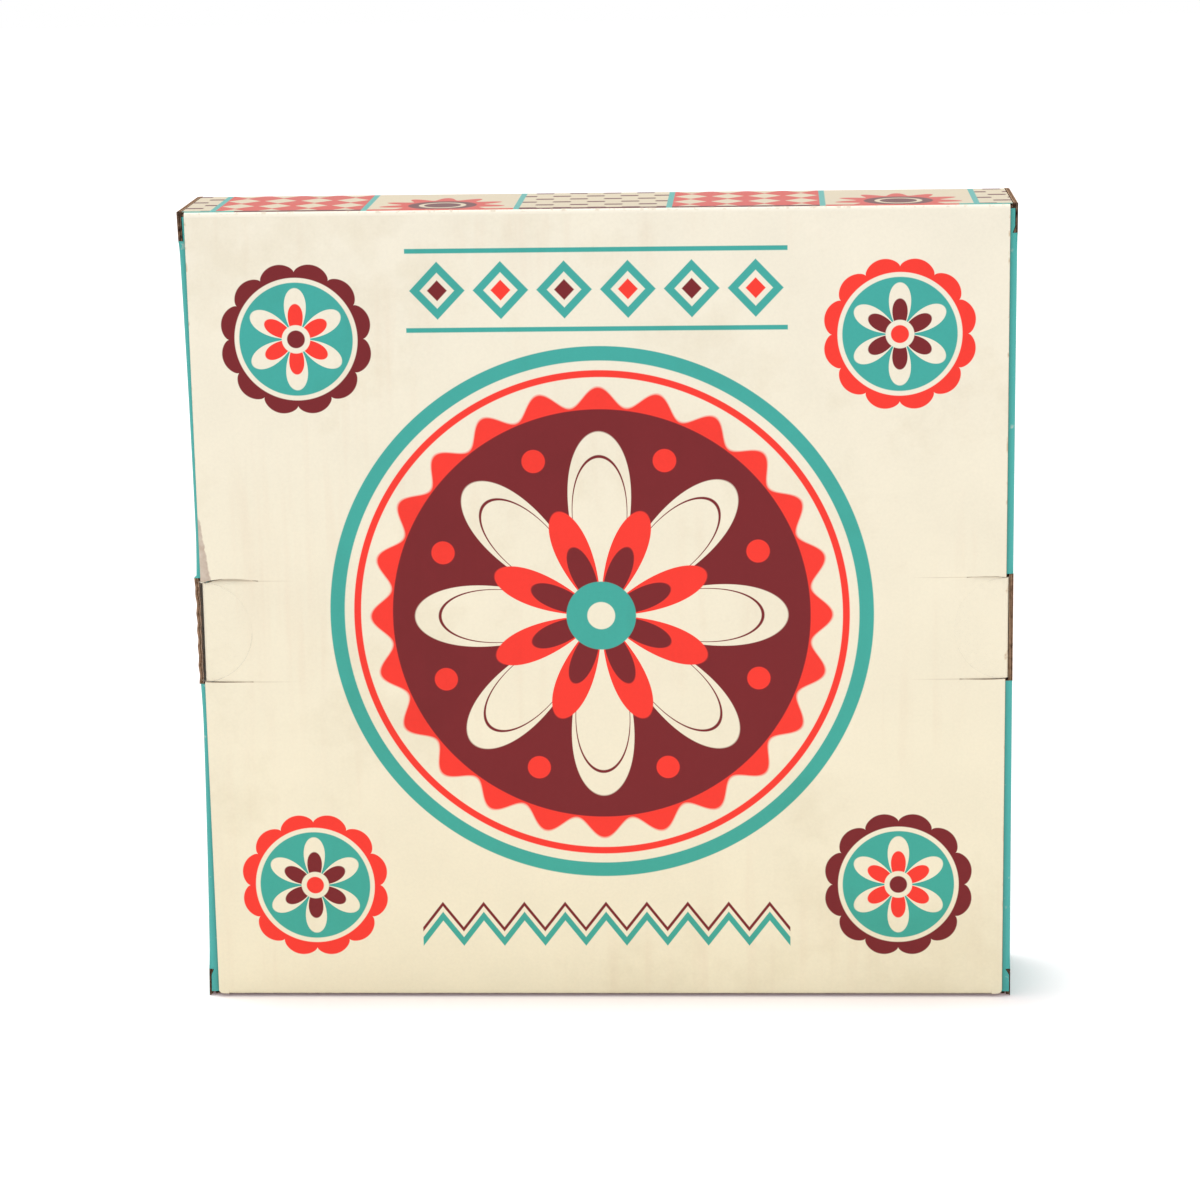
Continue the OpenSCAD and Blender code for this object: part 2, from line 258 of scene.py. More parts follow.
def board(name, us, vs, place, kept, raw, *materials):
    """Three layers of board on the flat grid us by vs, bent by place(u, v, w); w is 0 at the print."""
    bm = bmesh.new()
    flat_uv = bm.loops.layers.uv.new("flat")
    waves = lines((us[0], us[-1], flute / 8))
    for columns, low, high, wave, keep in (
            (us, 0, liner, 0, kept), (us, thick - liner, thick, 0, kept),
            (waves, (thick - core) / 2, (thick + core) / 2, flute_high,
             lambda u, v: kept(u, v) and raw(u, v))):
        nx, ny = len(columns) - 1, len(vs) - 1
        verts = bmesh.ops.create_grid(bm, x_segments=nx, y_segments=ny, size=1)["verts"]
        for p in verts:
            u, v = columns[round((p.co.x + 1) / 2 * nx)], vs[round((p.co.y + 1) / 2 * ny)]
            p.co = (u, v, low)
        faces = list({f for p in verts for f in p.link_faces})
        holes = [f for f in faces if not keep(*f.calc_center_median()[:2])]
        faces = [f for f in faces if keep(*f.calc_center_median()[:2])]
        bmesh.ops.delete(bm, geom=holes, context="FACES")
        lower = {p for f in faces for p in f.verts}
        upper = bmesh.ops.extrude_face_region(bm, geom=faces, use_keep_orig=True)["geom"]
        upper = [p for p in upper if isinstance(p, bmesh.types.BMVert)]
        for p in upper:
            p.co.z = high
        for p in list(lower) + upper:
            p.co.z += wave * math.cos(2 * math.pi * p.co.x / flute)
    bm.normal_update()
    for f in bm.faces:
        f.smooth = True
        f.material_index = 0 if all(p.co.z < 1e-6 for p in f.verts) else 1
        for loop in f.loops:
            loop[flat_uv].uv = loop.vert.co.xy
    for e in bm.edges:
        e.smooth = len(e.link_faces) == 2 and e.calc_face_angle(3) < 0.8
    for p in bm.verts:
        p.co = place(*p.co)
    bmesh.ops.recalc_face_normals(bm, faces=bm.faces)
    return mesh_piece(name, bm, *materials)


def paper(at, flat, ink):
    """The ink with the board's mottling, its bump of fibres and flutes, and the mottling itself."""
    cloud = at.noise(35.0, 4.0)
    fibre = at.noise(900.0, 2.0)
    tint = ((cloud - 0.5) * 0.10 + (fibre - 0.5) * 0.07 + 1) & 1.06
    ink = tint.node("Mix", {0: 1.0, 6: ink, 7: tint}, output=2, data_type="RGBA", blend_type="MULTIPLY")
    across = flat.xyz()[0]
    ribs = (across * (2 * math.pi / flute)).maths("SINE") * (at.noise(12.0) * 0.000012 + 0.000004)
    return ink, ribs + fibre * 0.00001 + at.noise(160.0) * 0.00002, cloud


# Kraft liner and core: brown fibres and dull, with painted shade in darker stripes along the flutes,
# and painted deep shade in the core where the raw edges show beside the lid, most at the carton's corners.
kraft_board, at, flat, shader = surface("kraft_board", Specular_IOR_Level=0.25)
fibre = at.node("Mapping", {"Vector": at, "Scale": (1.0, 1.0, 6.0)}).noise(420.0, 5.0)
# Painted shade: stripes at the flute pitch darken the colour; the same ribs also give a bump.
ribs = ((flat.xyz()[0] * (2 * math.pi / flute)).maths("SINE") * 0.5 + 0.5) * 0.14
tone = fibre * 0.75 + ribs + at.noise(60.0) * 0.3 - 0.1
x, y, z = at.xyz()
# Painted shade of the fluted core on the raw edges beside the lid, strongest at the corners, weaker at the
# slots.
painted_core_shade = ((y - near_y).within(0.0035, 0.0008) * (lid_x - abs(x)).within(0.0, 0.0003)
         * (at.noise(520.0, 3.0) * 2.4 - 1.1 + (0.09 - abs(z - tab_z)).within(0.0) * 0.5))
ink = painted_core_shade.mix(tone.mix(rgb(140, 102, 76), rgb(214, 180, 148)), rgb(54, 28, 18))
dress(kraft_board, shader, Base_Color=ink,
      Roughness=fibre * 0.1 + 0.82, height=fibre * 0.00006 + ribs * 0.0001)

# ---------------------------------------------------------------- side walls and base panel
# Teal print on the side walls, the back and the bottom: satin, with pale rubs along the folds
# and a few scuffs. The back has a plain ruled border round a cream and red wheel.
teal_print, at, flat, shader = surface("teal_print", Specular_IOR_Level=0.4)
x, y, z = at.xyz()
rub = abs(y - near_y).within(0.0012, 0.0009) * (0.70 - at.noise(240.0, 6.0)).within(0.0, 0.05)
scuff = ((0.695 - at.noise(24.0, 8.0, Roughness=0.75)).within(0.0, 0.012)
         * (near_y + 0.004 - y).within(0.0, 0.001))
across, up = x * 1000, z * 1000 - 155.0
ring, border = (across * across + up * up) ** 0.5, abs(across) | abs(up)
angle = up.node("Math", {0: across, 1: up}, operation="ARCTAN2")
teal, cream, red = rgb(72, 176, 169), rgb(244, 236, 215), rgb(255, 62, 50)
ink = (abs(border - 138.0).within(1.4, 0.15) | abs(border - 132.0).within(0.5, 0.15)).mix(teal, cream)
ink = (ring - abs((angle * 6.0).maths("COSINE")) * 7.0).within(70.0, 0.3).mix(ink, cream)
ink = ring.within(63.0, 0.2).mix(ink, red)
ink = (ring - abs((angle * 6.0).maths("SINE")) ** 0.7 * 26.0).within(32.0, 0.4).mix(ink, cream)
ink = ring.within(24.0, 0.2).mix(ink, teal)
ink = ring.within(11.0, 0.2).mix(ink, rgb(126, 38, 44))
ink = (back_y - y).within(0.0002, 0.00008).mix(teal, ink)
ink, height, cloud = paper(at, flat, ink)
ink = (rub | scuff).mix(ink, rgb(176, 200, 190))
dress(teal_print, shader, Base_Color=ink, Roughness=cloud * 0.16 + 0.38, height=height)

# The blank's widest strip: inner ply, spine and outer ply of each side wall with the base
# panel between them, slit and slotted as the frame is, and its lock tabs through the base.
ply = back_y - near_y
end_slit, slot_half, lock_half = 0.011, 0.021, 0.015
wrap_path, wrap_folds, wrap_u = track(
    (-ply_x, back_y), -90, [ply, side_x - ply_x, ply, 2 * side_x, ply, side_x - ply_x, ply])
(crease_in, spine_on), (spine_off, crease_out), (base_on, base_off) = wrap_folds[:3]
cut_off, lock_root = spine_off + 0.0013, thick + 0.0003
lock_hole = base_off + side_x - ply_x - fold_r
locks_z = (top_z / 4, top_z * 3 / 4)


def wrap_kept(u, v):
    """False where the blank is cut away: round the lock tabs, at the slits, slots and lock holes."""
    u = min(u, wrap_u - u)
    if u < lock_root:
        return min(abs(v - z) for z in locks_z) < lock_half
    if u < spine_off and not lock_root < v < top_z - lock_root:
        return False
    if spine_off < u < cut_off and not end_slit < v < top_z - end_slit:
        return False
    if spine_on - 0.0006 < u < cut_off and abs(v - tab_z) < slot_half:
        return False
    if u > base_off and not fold_r < v < top_z - fold_r:
        return False
    return not (lock_hole - thick - 0.0002 < u < lock_hole + 0.0002
                and min(abs(v - z) for z in locks_z) < lock_half + 0.0002)


def wrap_raw(u, v):
    """True near the blank's cut edges, where the fluted core shows."""
    u = min(u, wrap_u - u)
    off, end = abs(v - tab_z), min(v, top_z - v)
    return (end < 0.006 or u < 0.006 or abs(off - slot_half) < 0.004 and u < crease_out
            or crease_in < u < crease_out + 0.004 and (off < slot_half or end < end_slit + 0.001))


def wrap_place(u, v, w):
    """Bends the blank, and squeezes the raw edges at three corners thin; the left slot's is ragged."""
    x, y = wrap_path(u, w)
    ply_u = min(u, wrap_u - u)
    off, end = abs(v - tab_z), min(v, top_z - v)
    thin = 1.0
    if end < end_slit - 0.0001 and (x > 0 or v < tab_z):
        thin = 0.5 if v > tab_z else 0.42 if x < 0 else 0.12
    if thin < 1 and spine_off - 0.0015 < ply_u < spine_off + 0.0001:
        x += math.copysign((1 - thin) * 1.1 * (ply_u - spine_off + 0.0015), x)
    if cut_off - 0.0001 < ply_u < crease_out and (off < slot_half + 0.0001 or end < end_slit + 0.0001):
        x, y = math.copysign(side_x - w * thin, x), near_y + fold_r - (crease_out - ply_u)
        if x < 0 and off < slot_half + 0.0001:
            x -= 0.0002 * (1 + math.sin(900 * v)) + 0.0005 * math.exp(-((v - tab_z - 0.019) / 0.004) ** 2)
    return bowed(x, y, v, min(1, max(0, (ply_u - crease_in) / (crease_out - crease_in))))


half_us = [(0, lock_root, 0.002), (lock_root, crease_in, 0.006),
           (crease_in, spine_on - 0.0006, 0.0006), (spine_on - 0.0006, spine_on, 0.0006),
           (spine_on, spine_off, 0.0006), (spine_off, cut_off, 0.00045), (cut_off, crease_out, 0.0005),
           (crease_out, base_on, 0.006), (base_on, base_off, 0.0006),
           (lock_hole - thick - 0.0002, lock_hole + 0.0002, 0.002)]
wrap_us = lines(*half_us, *[(wrap_u - b, wrap_u - a, s) for a, b, s in half_us],
                (base_off, wrap_u - base_off, 0.012))
wrap_vs = lines((fold_r, top_z - fold_r, 0.02), (0, lock_root, 0.002), (top_z - lock_root, top_z, 0.002),
                (lock_root, 0.006, 0.002), (top_z - 0.006, top_z - lock_root, 0.002),
                (0.006, end_slit, 0.003), (top_z - end_slit, top_z - 0.006, 0.003),
                (end_slit, top_z - end_slit, 0.008),
                (tab_z - slot_half, tab_z + slot_half, 0.003), (tab_z - 0.025, tab_z + 0.025, 0.004),
                *[(z - a, z + a, 0.01) for z in locks_z for a in (lock_half, lock_half + 0.0002)])
wrap = board("carton_wrap", wrap_us, wrap_vs, wrap_place, wrap_kept, wrap_raw, teal_print, kraft_board)
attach(wrap, "carton")
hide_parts("base_panel", "left_wall", "right_wall")


# ---------------------------------------------------------------- top wall and the lid's hinge fold
# Top wall, lid and tuck flap are one strip of the blank, folded at the base, along the lid's
# hinge and at the tuck flap.
lid_low = 0.0008
lid_path, lid_folds, lid_v = track((-back_y, top_z - fold_r), 90,
                                   [fold_r, back_y - lid_y, top_z - lid_low, 0.027])
(_, top_on), (top_off, lid_on), (lid_off, flap_on) = lid_folds
flap_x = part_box("tuck_flap")[1][0]
flap_flat = flap_on + 0.006


def strip_place(u, v, w):
    """Bends the strip; the tuck flap rises 2.5 mm off the bottom wall within its first 6 mm."""
    s, z = lid_path(v, w)
    rise = min(1, max(0, (v - flap_on) / 0.006))
    return Vector((u, -s, z + 0.0025 * rise * rise * (3 - 2 * rise)))


def strip_ink(x, y):
    """The top wall's pattern in mm: panels of half suns, dashes and lozenges between teal bars."""
    pale, red, maroon = rgb(214, 200, 172), rgb(206, 78, 66), rgb(104, 50, 50)
    cell = ((x + 2.0) / 57.4 + 0.5).maths("FLOOR")
    local = ((x + 2.0) / 57.4 + 0.5 - cell) * 57.4 - 29.7
    kind = (cell + 1.0).maths("FLOORED_MODULO", 3.0)
    away = (local * local + (y + 12.0) * (y + 12.0)) ** 0.5
    turn = away.node("Math", {0: local, 1: y + 12.0}, operation="ARCTAN2")
    suns = ((turn * 11.0).maths("COSINE") * 4.0 + 20.0 - away).within(0.0, 0.3).mix(red, pale)
    suns = away.within(13.0, 0.3).mix(suns, maroon)
    suns = abs(away - 8.0).within(1.0, 0.2).mix(suns, pale)
    row = (y / 9.4).maths("FLOOR")
    dash = (local + row * 7.0).maths("FLOORED_MODULO", 13.0) - 6.5
    dashes = abs(dash).within(3.4, 0.3) * abs((y / 9.4 - row - 0.5) * 9.4).within(1.7, 0.3)
    dashes = dashes.mix(pale, maroon)
    tilt_x, tilt_y = local.maths("FLOORED_MODULO", 14.0) - 7.0, y.maths("FLOORED_MODULO", 17.0) - 8.5
    lozenge = (abs(tilt_x) / 6.2 + abs(tilt_y) / 7.6).within(1.0, 0.03).mix(red, pale)
    panel = kind.within(1.5, 0.01).mix(lozenge, kind.within(0.5, 0.01).mix(dashes, suns))
    line = (y + 23.2).within(0.0, 0.2)
    edge = kind.within(0.5, 0.01).mix(maroon, red)
    edge = (136.0 - abs(x)).within(0.0, 0.1).mix(edge, rgb(80, 166, 152))
    return (local + 29.7).within(2.2, 0.15).mix(line.mix(panel, edge), rgb(84, 170, 162))


strip_print, at, flat, shader = surface("strip_print", Specular_IOR_Level=0.4)
x, y, z = at.xyz()
ink = (z - top_z + 0.0002).within(0.0, 0.00005).mix(strip_ink(x * 1000, y * 1000), rgb(247, 239, 221))
ink, height, cloud = paper(at, flat, ink)
ink = (abs(z - top_z).within(0.0008, 0.0004) * abs(y - lid_y).within(0.0012, 0.0006)
       * (0.56 - at.noise(300.0, 6.0)).within(0.0, 0.04)).mix(ink, rgb(214, 200, 178))
dress(strip_print, shader, Base_Color=ink, Roughness=cloud * 0.16 + 0.36, height=height)

top_us = lines((0, 0.0040, 0.004), (0.0040, wall_x - 0.0042, 0.012),
               (wall_x - 0.0042, wall_x - 0.0002, 0.004))
top_us = sorted({-u for u in top_us} | set(top_us))
top_wall = board("top_wall_board", top_us,
                 lines((0, top_on, 0.0006), (top_on, top_off, 0.006)), strip_place,
                 lambda u, v: True, lambda u, v: abs(u) > wall_x - 0.005, strip_print, kraft_board)
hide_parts("top_wall")
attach(top_wall, "carton")

lid_fold = board("lid_fold",
                 lines((-lid_x, -lid_x + 0.004, 0.004), (-lid_x + 0.004, lid_x - 0.004, 0.012),
                       (lid_x - 0.004, lid_x, 0.004)),
                 lines((top_off, lid_on, 0.0005)), strip_place,
                 lambda u, v: True, lambda u, v: abs(u) > lid_x - 0.005, strip_print, kraft_board)
tuple(strip_place(0, top_off, 0))
tuple(strip_place(0, lid_on, 0))
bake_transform(lid_fold)

# ---------------------------------------------------------------- bottom wall and dust flaps
# The carton stands on the bottom wall. The four dust flaps, two on the top wall and two on
# the bottom wall, are folded in between the plies of the side walls.
low_path, low_folds, low_v = track((back_y, fold_r), -90, [fold_r, back_y + 0.0228])
bottom = board("bottom_wall_board", top_us,
               lines((0, low_folds[0][1], 0.0006), (low_folds[0][1], low_v, 0.006)),
               lambda u, v, w: Vector((u, *low_path(v, w))), lambda u, v: True,
               lambda u, v: abs(u) > wall_x - 0.005 or v > low_v - 0.005, teal_print, kraft_board)
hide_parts("bottom_wall")
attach(bottom, "carton")

(_, dust_y, _), (_, dust_back, _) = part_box("dust_flaps")
dust_deep, dust_long, dust_bevel = dust_back - dust_y, 0.092, 0.014
for name, sx, upper in (("dust_flap_upper_right", 1, 1), ("dust_flap_lower_right", 1, 0),
                        ("dust_flap_upper_left", -1, 1), ("dust_flap_lower_left", -1, 0)):
    def dust_place(u, v, w):
        u *= 1 - max(0, dust_bevel - min(v, dust_deep - v)) / dust_long
        z = top_z - thick - u if upper else thick + u
        return bowed(sx * (wall_x - w), dust_y + v, z)

    dust = board(name, lines((0, dust_long, 0.006)),
                 lines((0, dust_bevel, 0.0035), (dust_bevel, dust_deep - dust_bevel, 0.006),
                       (dust_deep - dust_bevel, dust_deep, 0.0035)),
                 dust_place, lambda u, v: True, lambda u, v: min(v, dust_deep - v) < 0.004,
                 teal_print, kraft_board)
    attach(dust, "carton")
    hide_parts("dust_flaps")

# ---------------------------------------------------------------- lid
# Lid print: a cream field with a round medallion, four rosettes and two bands, all plain
# geometric ornament, with the marks of handling: specks, faint stains and a torn left edge.
lid_print, at, flat, shader = surface("lid_print", Specular_IOR_Level=0.25)
x, y, z = [k * 1000 for k in at.xyz()]
cream, red, maroon, teal = rgb(248, 240, 221), rgb(255, 58, 46), rgb(124, 30, 36), rgb(66, 174, 165)
up = z - 154.0
ring = (x * x + up * up) ** 0.5 / 1.07
angle = up.node("Math", {0: x, 1: up}, operation="ARCTAN2")
eighth = angle.maths("FLOORED_MODULO", math.pi / 4) - math.pi / 8
ink = abs(ring - 95.0).within(2.6, 0.15).mix(cream, teal)
ink = ring.within(89.0, 0.15).mix(ink, red)
spoke = ((angle * 24.0).maths("COSINE") * 3.5 + 79.5 - ring).within(0.0, 0.5) * ring.within(86.5, 0.15)
ink = spoke.mix(ink, cream)
ink = ring.within(75.0, 0.15).mix(ink, maroon)
petal = abs((angle * 4.0).maths("COSINE")) ** 0.62
ink = (ring - petal * 67.0).within(0.0, 0.3).mix(ink, cream)
ink = (abs(ring - petal * 58.0) | (30.0 - ring)).within(0.55, 0.15).mix(ink, maroon)
inner = abs((angle * 4.0).maths("SINE")) ** 0.8
ink = (ring - inner * 41.0).within(0.0, 0.3).mix(ink, red)
ink = (ring - inner * 27.0).within(0.0, 0.3).mix(ink, maroon)
ink = ring.within(12.5, 0.15).mix(ink, teal)
ink = ring.within(5.0, 0.15).mix(ink, cream)
dot_x, dot_y = ring * eighth.maths("SINE"), ring * eighth.maths("COSINE") - 61.0
ink = ((dot_x * dot_x + dot_y * dot_y) ** 0.5).within(4.2, 0.15).mix(ink, red)

away_x, away_z = abs(x) - 114.0, abs(up) - 108.0
rose = (away_x * away_x + away_z * away_z) ** 0.5
rose_angle = rose.node("Math", {0: away_x, 1: away_z}, operation="ARCTAN2")
first = (x * up).within(0.0, 1.0)
ground, other = first.mix(red, maroon), first.mix(maroon, red)
scallop = abs((rose_angle * 6.0).maths("SINE")) ** 0.6 * 3.6
ink = (rose - scallop).within(25.5, 0.15).mix(ink, ground)
ink = rose.within(23.4, 0.15).mix(ink, cream)
ink = rose.within(21.6, 0.15).mix(ink, teal)
leaf = abs((rose_angle * 3.0).maths("COSINE")) ** 0.7
ink = (rose - leaf * 19.5).within(0.0, 0.2).mix(ink, cream)
ink = (rose - leaf * 13.5).within(0.0, 0.2).mix(ink, other)
ink = rose.within(5.4, 0.15).mix(ink, cream)
ink = rose.within(3.4, 0.15).mix(ink, ground)

upper, lower = z - 280.0, z - 28.0
cell = x.maths("FLOORED_MODULO", 24.0) - 12.0
turn = (x / 48.0).maths("FLOORED_MODULO", 1.0).within(0.5, 0.002)
diamond = abs(cell) / 10.5 + abs(upper) / 11.0
middle = abs(x).within(72.0, 0.1)
ink = (diamond.within(1.0, 0.02) * middle).mix(ink, teal)
ink = (diamond.within(0.62, 0.02) * middle).mix(ink, cream)
ink = (diamond.within(0.36, 0.02) * middle).mix(ink, turn.mix(maroon, red))
ink = (abs(abs(upper) - 15.0).within(0.9, 0.15) * middle).mix(ink, teal)
zig = abs(x.maths("FLOORED_MODULO", 16.0) - 8.0) * 1.3 - 5.2
ink = (abs(lower - zig).within(1.8, 0.2) * middle).mix(ink, teal)
ink = (abs(lower - zig - 5.0).within(0.9, 0.2) * middle).mix(ink, maroon)

streak = at.node("Mapping", {"Vector": at, "Scale": (150.0, 150.0, 9.0)}).noise(1.0, 4.0)
faded = (0.60 - streak).within(0.0, 0.10) * (0.55 - at.noise(16.0, 4.0)).within(0.0, 0.08)
# Painted shade: a thin dark brown line along the lid's lower fold, where shade falls under the fold.
low = (z - 1.45 + at.noise(260.0) * 0.3).within(0.0, 0.08)
ink = low.mix(ink, rgb(66, 44, 32))
# Painted shade: a faint darker line along each crease that runs on from the cuts beside the tabs.
painted_crease_shade = abs(abs(z - tab_z * 1000) - 20.0).within(0.14, 0.1) * (lid_x * 1000 - abs(x)).within(31.0, 6.0)
ink = (painted_crease_shade * 0.30).mix(ink, rgb(150, 120, 84))
# A multiplying tint: darker and yellower towards the bottom, with faded streaks and faint stains.
lid_tint = (z / 310.0).mix((1.0, 0.965, 0.85, 1), (1, 1, 1, 1))
lid_tint = (faded * 0.16).mix(lid_tint, (0.82, 0.64, 0.54, 1))
stain = (0.60 - at.noise(11.0, 6.0, Roughness=0.7)).within(0.0, 0.06)
lid_tint = (stain * 0.14).mix(lid_tint, (0.59, 0.50, 0.32, 1))
ink = lid_tint.node("Mix", {0: 1.0, 6: ink, 7: lid_tint}, output=2, data_type="RGBA", blend_type="MULTIPLY")
ink, height, cloud = paper(at, flat, ink)
speck = at.node("TexVoronoi", {"Vector": at, "Scale": 42.0}, feature="F1")
picked = (at.noise(6.0, 1.0) - 0.56).maths("MULTIPLY", 5.0)
ink = (speck.within(0.035, 0.012) * picked.maths("GREATER_THAN", 0.0)).mix(ink, rgb(176, 140, 96))
ragged = (at.noise(420.0, 4.0) - 0.5) * 1.6
tear = (x + lid_x * 1000 + (z - tab_z * 1000 - 20.0) * 0.15 - 4.6 + ragged).within(0.0, 0.25)
over = z - tab_z * 1000 - 20.0
tear = tear * over.maths("GREATER_THAN", 0.0) * (over - 25.0).within(0.0, 1.0)
ink = tear.mix(ink, at.noise(300.0, 4.0).mix(rgb(176, 146, 122), rgb(236, 226, 212)))
rim = ((abs(x) - lid_x * 1000 + 0.5).within(0.0, 0.2) * -1.0 + 1.0)
rim = rim * (0.62 - at.noise(200.0, 5.0)).within(0.0, 0.05)
ink = rim.mix(ink, rgb(214, 190, 158))
dress(lid_print, shader, Base_Color=ink, Roughness=cloud * 0.18 + 0.38,
      height=height - tear * 0.00015)

# The lid panel: flat, a little uneven, with cuts above and below each side tab; the board
# between the cuts is pressed in and bends into the side wall's slot.
tab_path, tab_folds, tab_u = track((0, -lid_y), 0, [wall_x, 0.0155])
tab_half, tab_round = 0.020, 0.006
cuts = ((-1, 1, 0.0225), (-1, -1, 0.0190), (1, 1, 0.0150), (1, -1, 0.0175))
arch = {(-1, 1): 1.0, (-1, -1): 0.15, (1, 1): 0.35, (1, -1): 0.2}


def lid_height(v):
    return top_z - fold_r - (v - lid_on)


def lid_kept(u, v):
    """False beside the tabs, at the lower fold and in the cuts."""
    z = lid_height(v)
    off = abs(z - tab_z)
    if abs(u) > lid_x and off > tab_half - 0.00015:
        return False
    if z < lid_low + fold_r and abs(u) < flap_x:
        return False
    for sx, sz, long in cuts:
        if u * sx > lid_x - long and (z - tab_z) * sz > 0 and abs(off - tab_half) < 0.00018:
            return False
    return True


def lid_raw(u, v):
    """True near the lid's cut edges, where the fluted core shows."""
    z = lid_height(v)
    return (abs(u) > lid_x - 0.004 or z < 0.006 and abs(u) > flap_x - 0.004
            or abs(abs(z - tab_z) - tab_half) < 0.004 and abs(u) > lid_x - 0.026)


def lid_place(u, v, w):
    """Bends the tabs, presses them in, curls the cuts, rounds the lower corners and tapers the lid."""
    z = lid_height(v)
    off = abs(z - tab_z)
    x, y = u, lid_y + w
    calm = min(1, (top_z - fold_r - z) / 0.02) * min(1, max(0, z - lid_low - fold_r) / 0.02)
    if off < tab_half:
        span = abs(u) - tab_folds[0][1]
        if span > 0:
            short = max(0, off - tab_half + tab_round)
            reach = tab_u - tab_folds[0][1]
            span *= (reach - tab_round + math.sqrt(max(0, tab_round ** 2 - short ** 2))) / reach
            u = math.copysign(tab_folds[0][1] + span, u)
        a, b = tab_path(abs(u), w)
        press = min(1, max(0, (abs(a) - 0.128) / 0.026))
        press = press * press * (3 - 2 * press)
        x, y = math.copysign(a, u), -b
        x += (bowed(x, y, z).x - x) * press
        y += 0.0007 * press
    elif z < lid_low + 0.002 and abs(u) > flap_x:
        reach = lid_x - 0.002 + math.sqrt(max(0, 0.002 ** 2 - (lid_low + 0.002 - z) ** 2))
        x = math.copysign(flap_x + (abs(u) - flap_x) * (reach - flap_x) / (lid_x - flap_x), u)
        z += 0.0005 * (lid_low + 0.002 - z) / 0.002
    else:
        lip = min(1, max(0, (abs(u) - 0.130) / 0.02)) * math.exp(-(off - tab_half) / 0.006)
        y += 0.00025 * lip * (1 if z < tab_z else 0)
    for sx, sz, long in cuts:
        along = (u * sx - lid_x + long) / long
        if along > 0 and (z - tab_z) * sz > 0 and abs(off - tab_half) < 0.0002:
            side, near = 1 if off > tab_half else -1, min(1, along)
            dip = max(0, min(1, (along - 0.75) / 0.25, (1.3 - along) / 0.3))
            curl = math.sin(math.pi * near) - 0.9 * dip
            z += sz * (side * 0.00014 * (near ** 1.5 - 0.9) + 0.0009 * arch[sx, sz] * curl)
            y += 0.0010 * arch[sx, sz] * math.sin(math.pi * near) * (side < 0)
    if off > tab_half:
        x *= 1 - (0.0075 if u < 0 else 0.0025) * (1 - z / top_z) * min(1, abs(u) / 0.12)
    y += 0.00016 * calm * (1 + math.sin(31 * x + 1) * math.sin(23 * z + 2))
    return Vector((x, y, z))


right_us = lines((0, 0.104, 0.013), (0.104, lid_x, 0.004), (flap_x, lid_x, 0.002),
                 *[(lid_x - long, lid_x - long, 1) for _, _, long in cuts],
                 (lid_x - fold_r, tab_folds[0][1], 0.0005), (tab_folds[0][1], tab_u, 0.003))
lid_us = sorted({-u for u in right_us} | set(right_us))
lid_vs = sorted({round(lid_on + top_z - fold_r - z, 7) for z in
                 lines((lid_low, lid_low + 0.002, 0.0004), (lid_low + 0.002, 0.006, 0.002),
                       (lid_low + fold_r, lid_low + fold_r, 1), (0.006, top_z - fold_r, 0.009),
                       *[(tab_z + s * (tab_half - tab_round), tab_z + s * (tab_half - 0.00016), 0.001)
                         for s in (-1, 1)],
                       *[(tab_z + s * (tab_half + 0.00016), tab_z + s * (tab_half + 0.012), 0.003)
                         for s in (-1, 1)],
                       (tab_z - tab_half + tab_round, tab_z + tab_half - tab_round, 0.004))})
lid_sheet = board("lid_board", lid_us, lid_vs, lid_place, lid_kept, lid_raw, lid_print, kraft_board)
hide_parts("lid")
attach(lid_sheet, "lid")

# ---------------------------------------------------------------- tuck flap
# The lid's lower fold dips under the near edge, and the tuck flap, with two rounded corners,
# lies behind it over the bottom wall. It springs open as the lid is lifted.
flap_us = lines((-flap_x, -flap_x + 0.012, 0.0012), (-flap_x + 0.012, flap_x - 0.012, 0.012),
                (flap_x - 0.012, flap_x, 0.0012))
flap_fold = board("flap_fold", flap_us,
                  lines((lid_off, flap_on, 0.0005), (flap_on, flap_flat, 0.001)), strip_place,
                  lambda u, v: True, lambda u, v: abs(u) > flap_x - 0.005, lid_print, kraft_board)
tuple(strip_place(0, lid_off, 0))
tuple(strip_place(0, flap_flat, 0))
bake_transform(flap_fold)


def flap_place(u, v, w):
    side = max(0, 0.012 - (flap_x - abs(u)))
    reach = lid_v - 0.012 + math.sqrt(max(0, 0.012 ** 2 - side ** 2)) - flap_flat
    return strip_place(u, flap_flat + (v - flap_flat) * reach / (lid_v - flap_flat), w)


flap = board("tuck_flap_board", flap_us,
             lines((flap_flat, lid_v - 0.004, 0.004), (lid_v - 0.004, lid_v, 0.004)), flap_place,
             lambda u, v: True, lambda u, v: v > lid_v - 0.005 or abs(u) > flap_x - 0.005,
             lid_print, kraft_board)
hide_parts("tuck_flap")
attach(flap, "tuck_flap")

# ---------------------------------------------------------------- film seals
# Two round seals of clear film with a faint rim, one over each side edge of the lid and down
# the side wall. They are slit along the lid's edge, so each half stays with its own panel.
seal_film, at, flat, shader = surface("seal_film", Roughness=0.22, Coat_Weight=0.6, Coat_Roughness=0.08)
x, y, z = at.xyz()
spread = (((abs(x) - lid_x) & (x * 0.0)) ** 2.0 + (z - tab_z) ** 2.0) ** 0.5
rim = 1.0 - (spread - 0.0196).within(0.0, 0.0002)
dress(seal_film, shader, Base_Color=rim.mix(rgb(250, 246, 236), rgb(205, 196, 180)),
      Alpha=rim * (at.noise(45.0) - 0.38).maths("MAXIMUM", 0.0) * 0.9 + 0.012)
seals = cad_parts["lid_seals"].data
seals.materials.clear()
seals.materials.append(seal_film)
start, seal_r = spine_on + 0.0001, 0.020
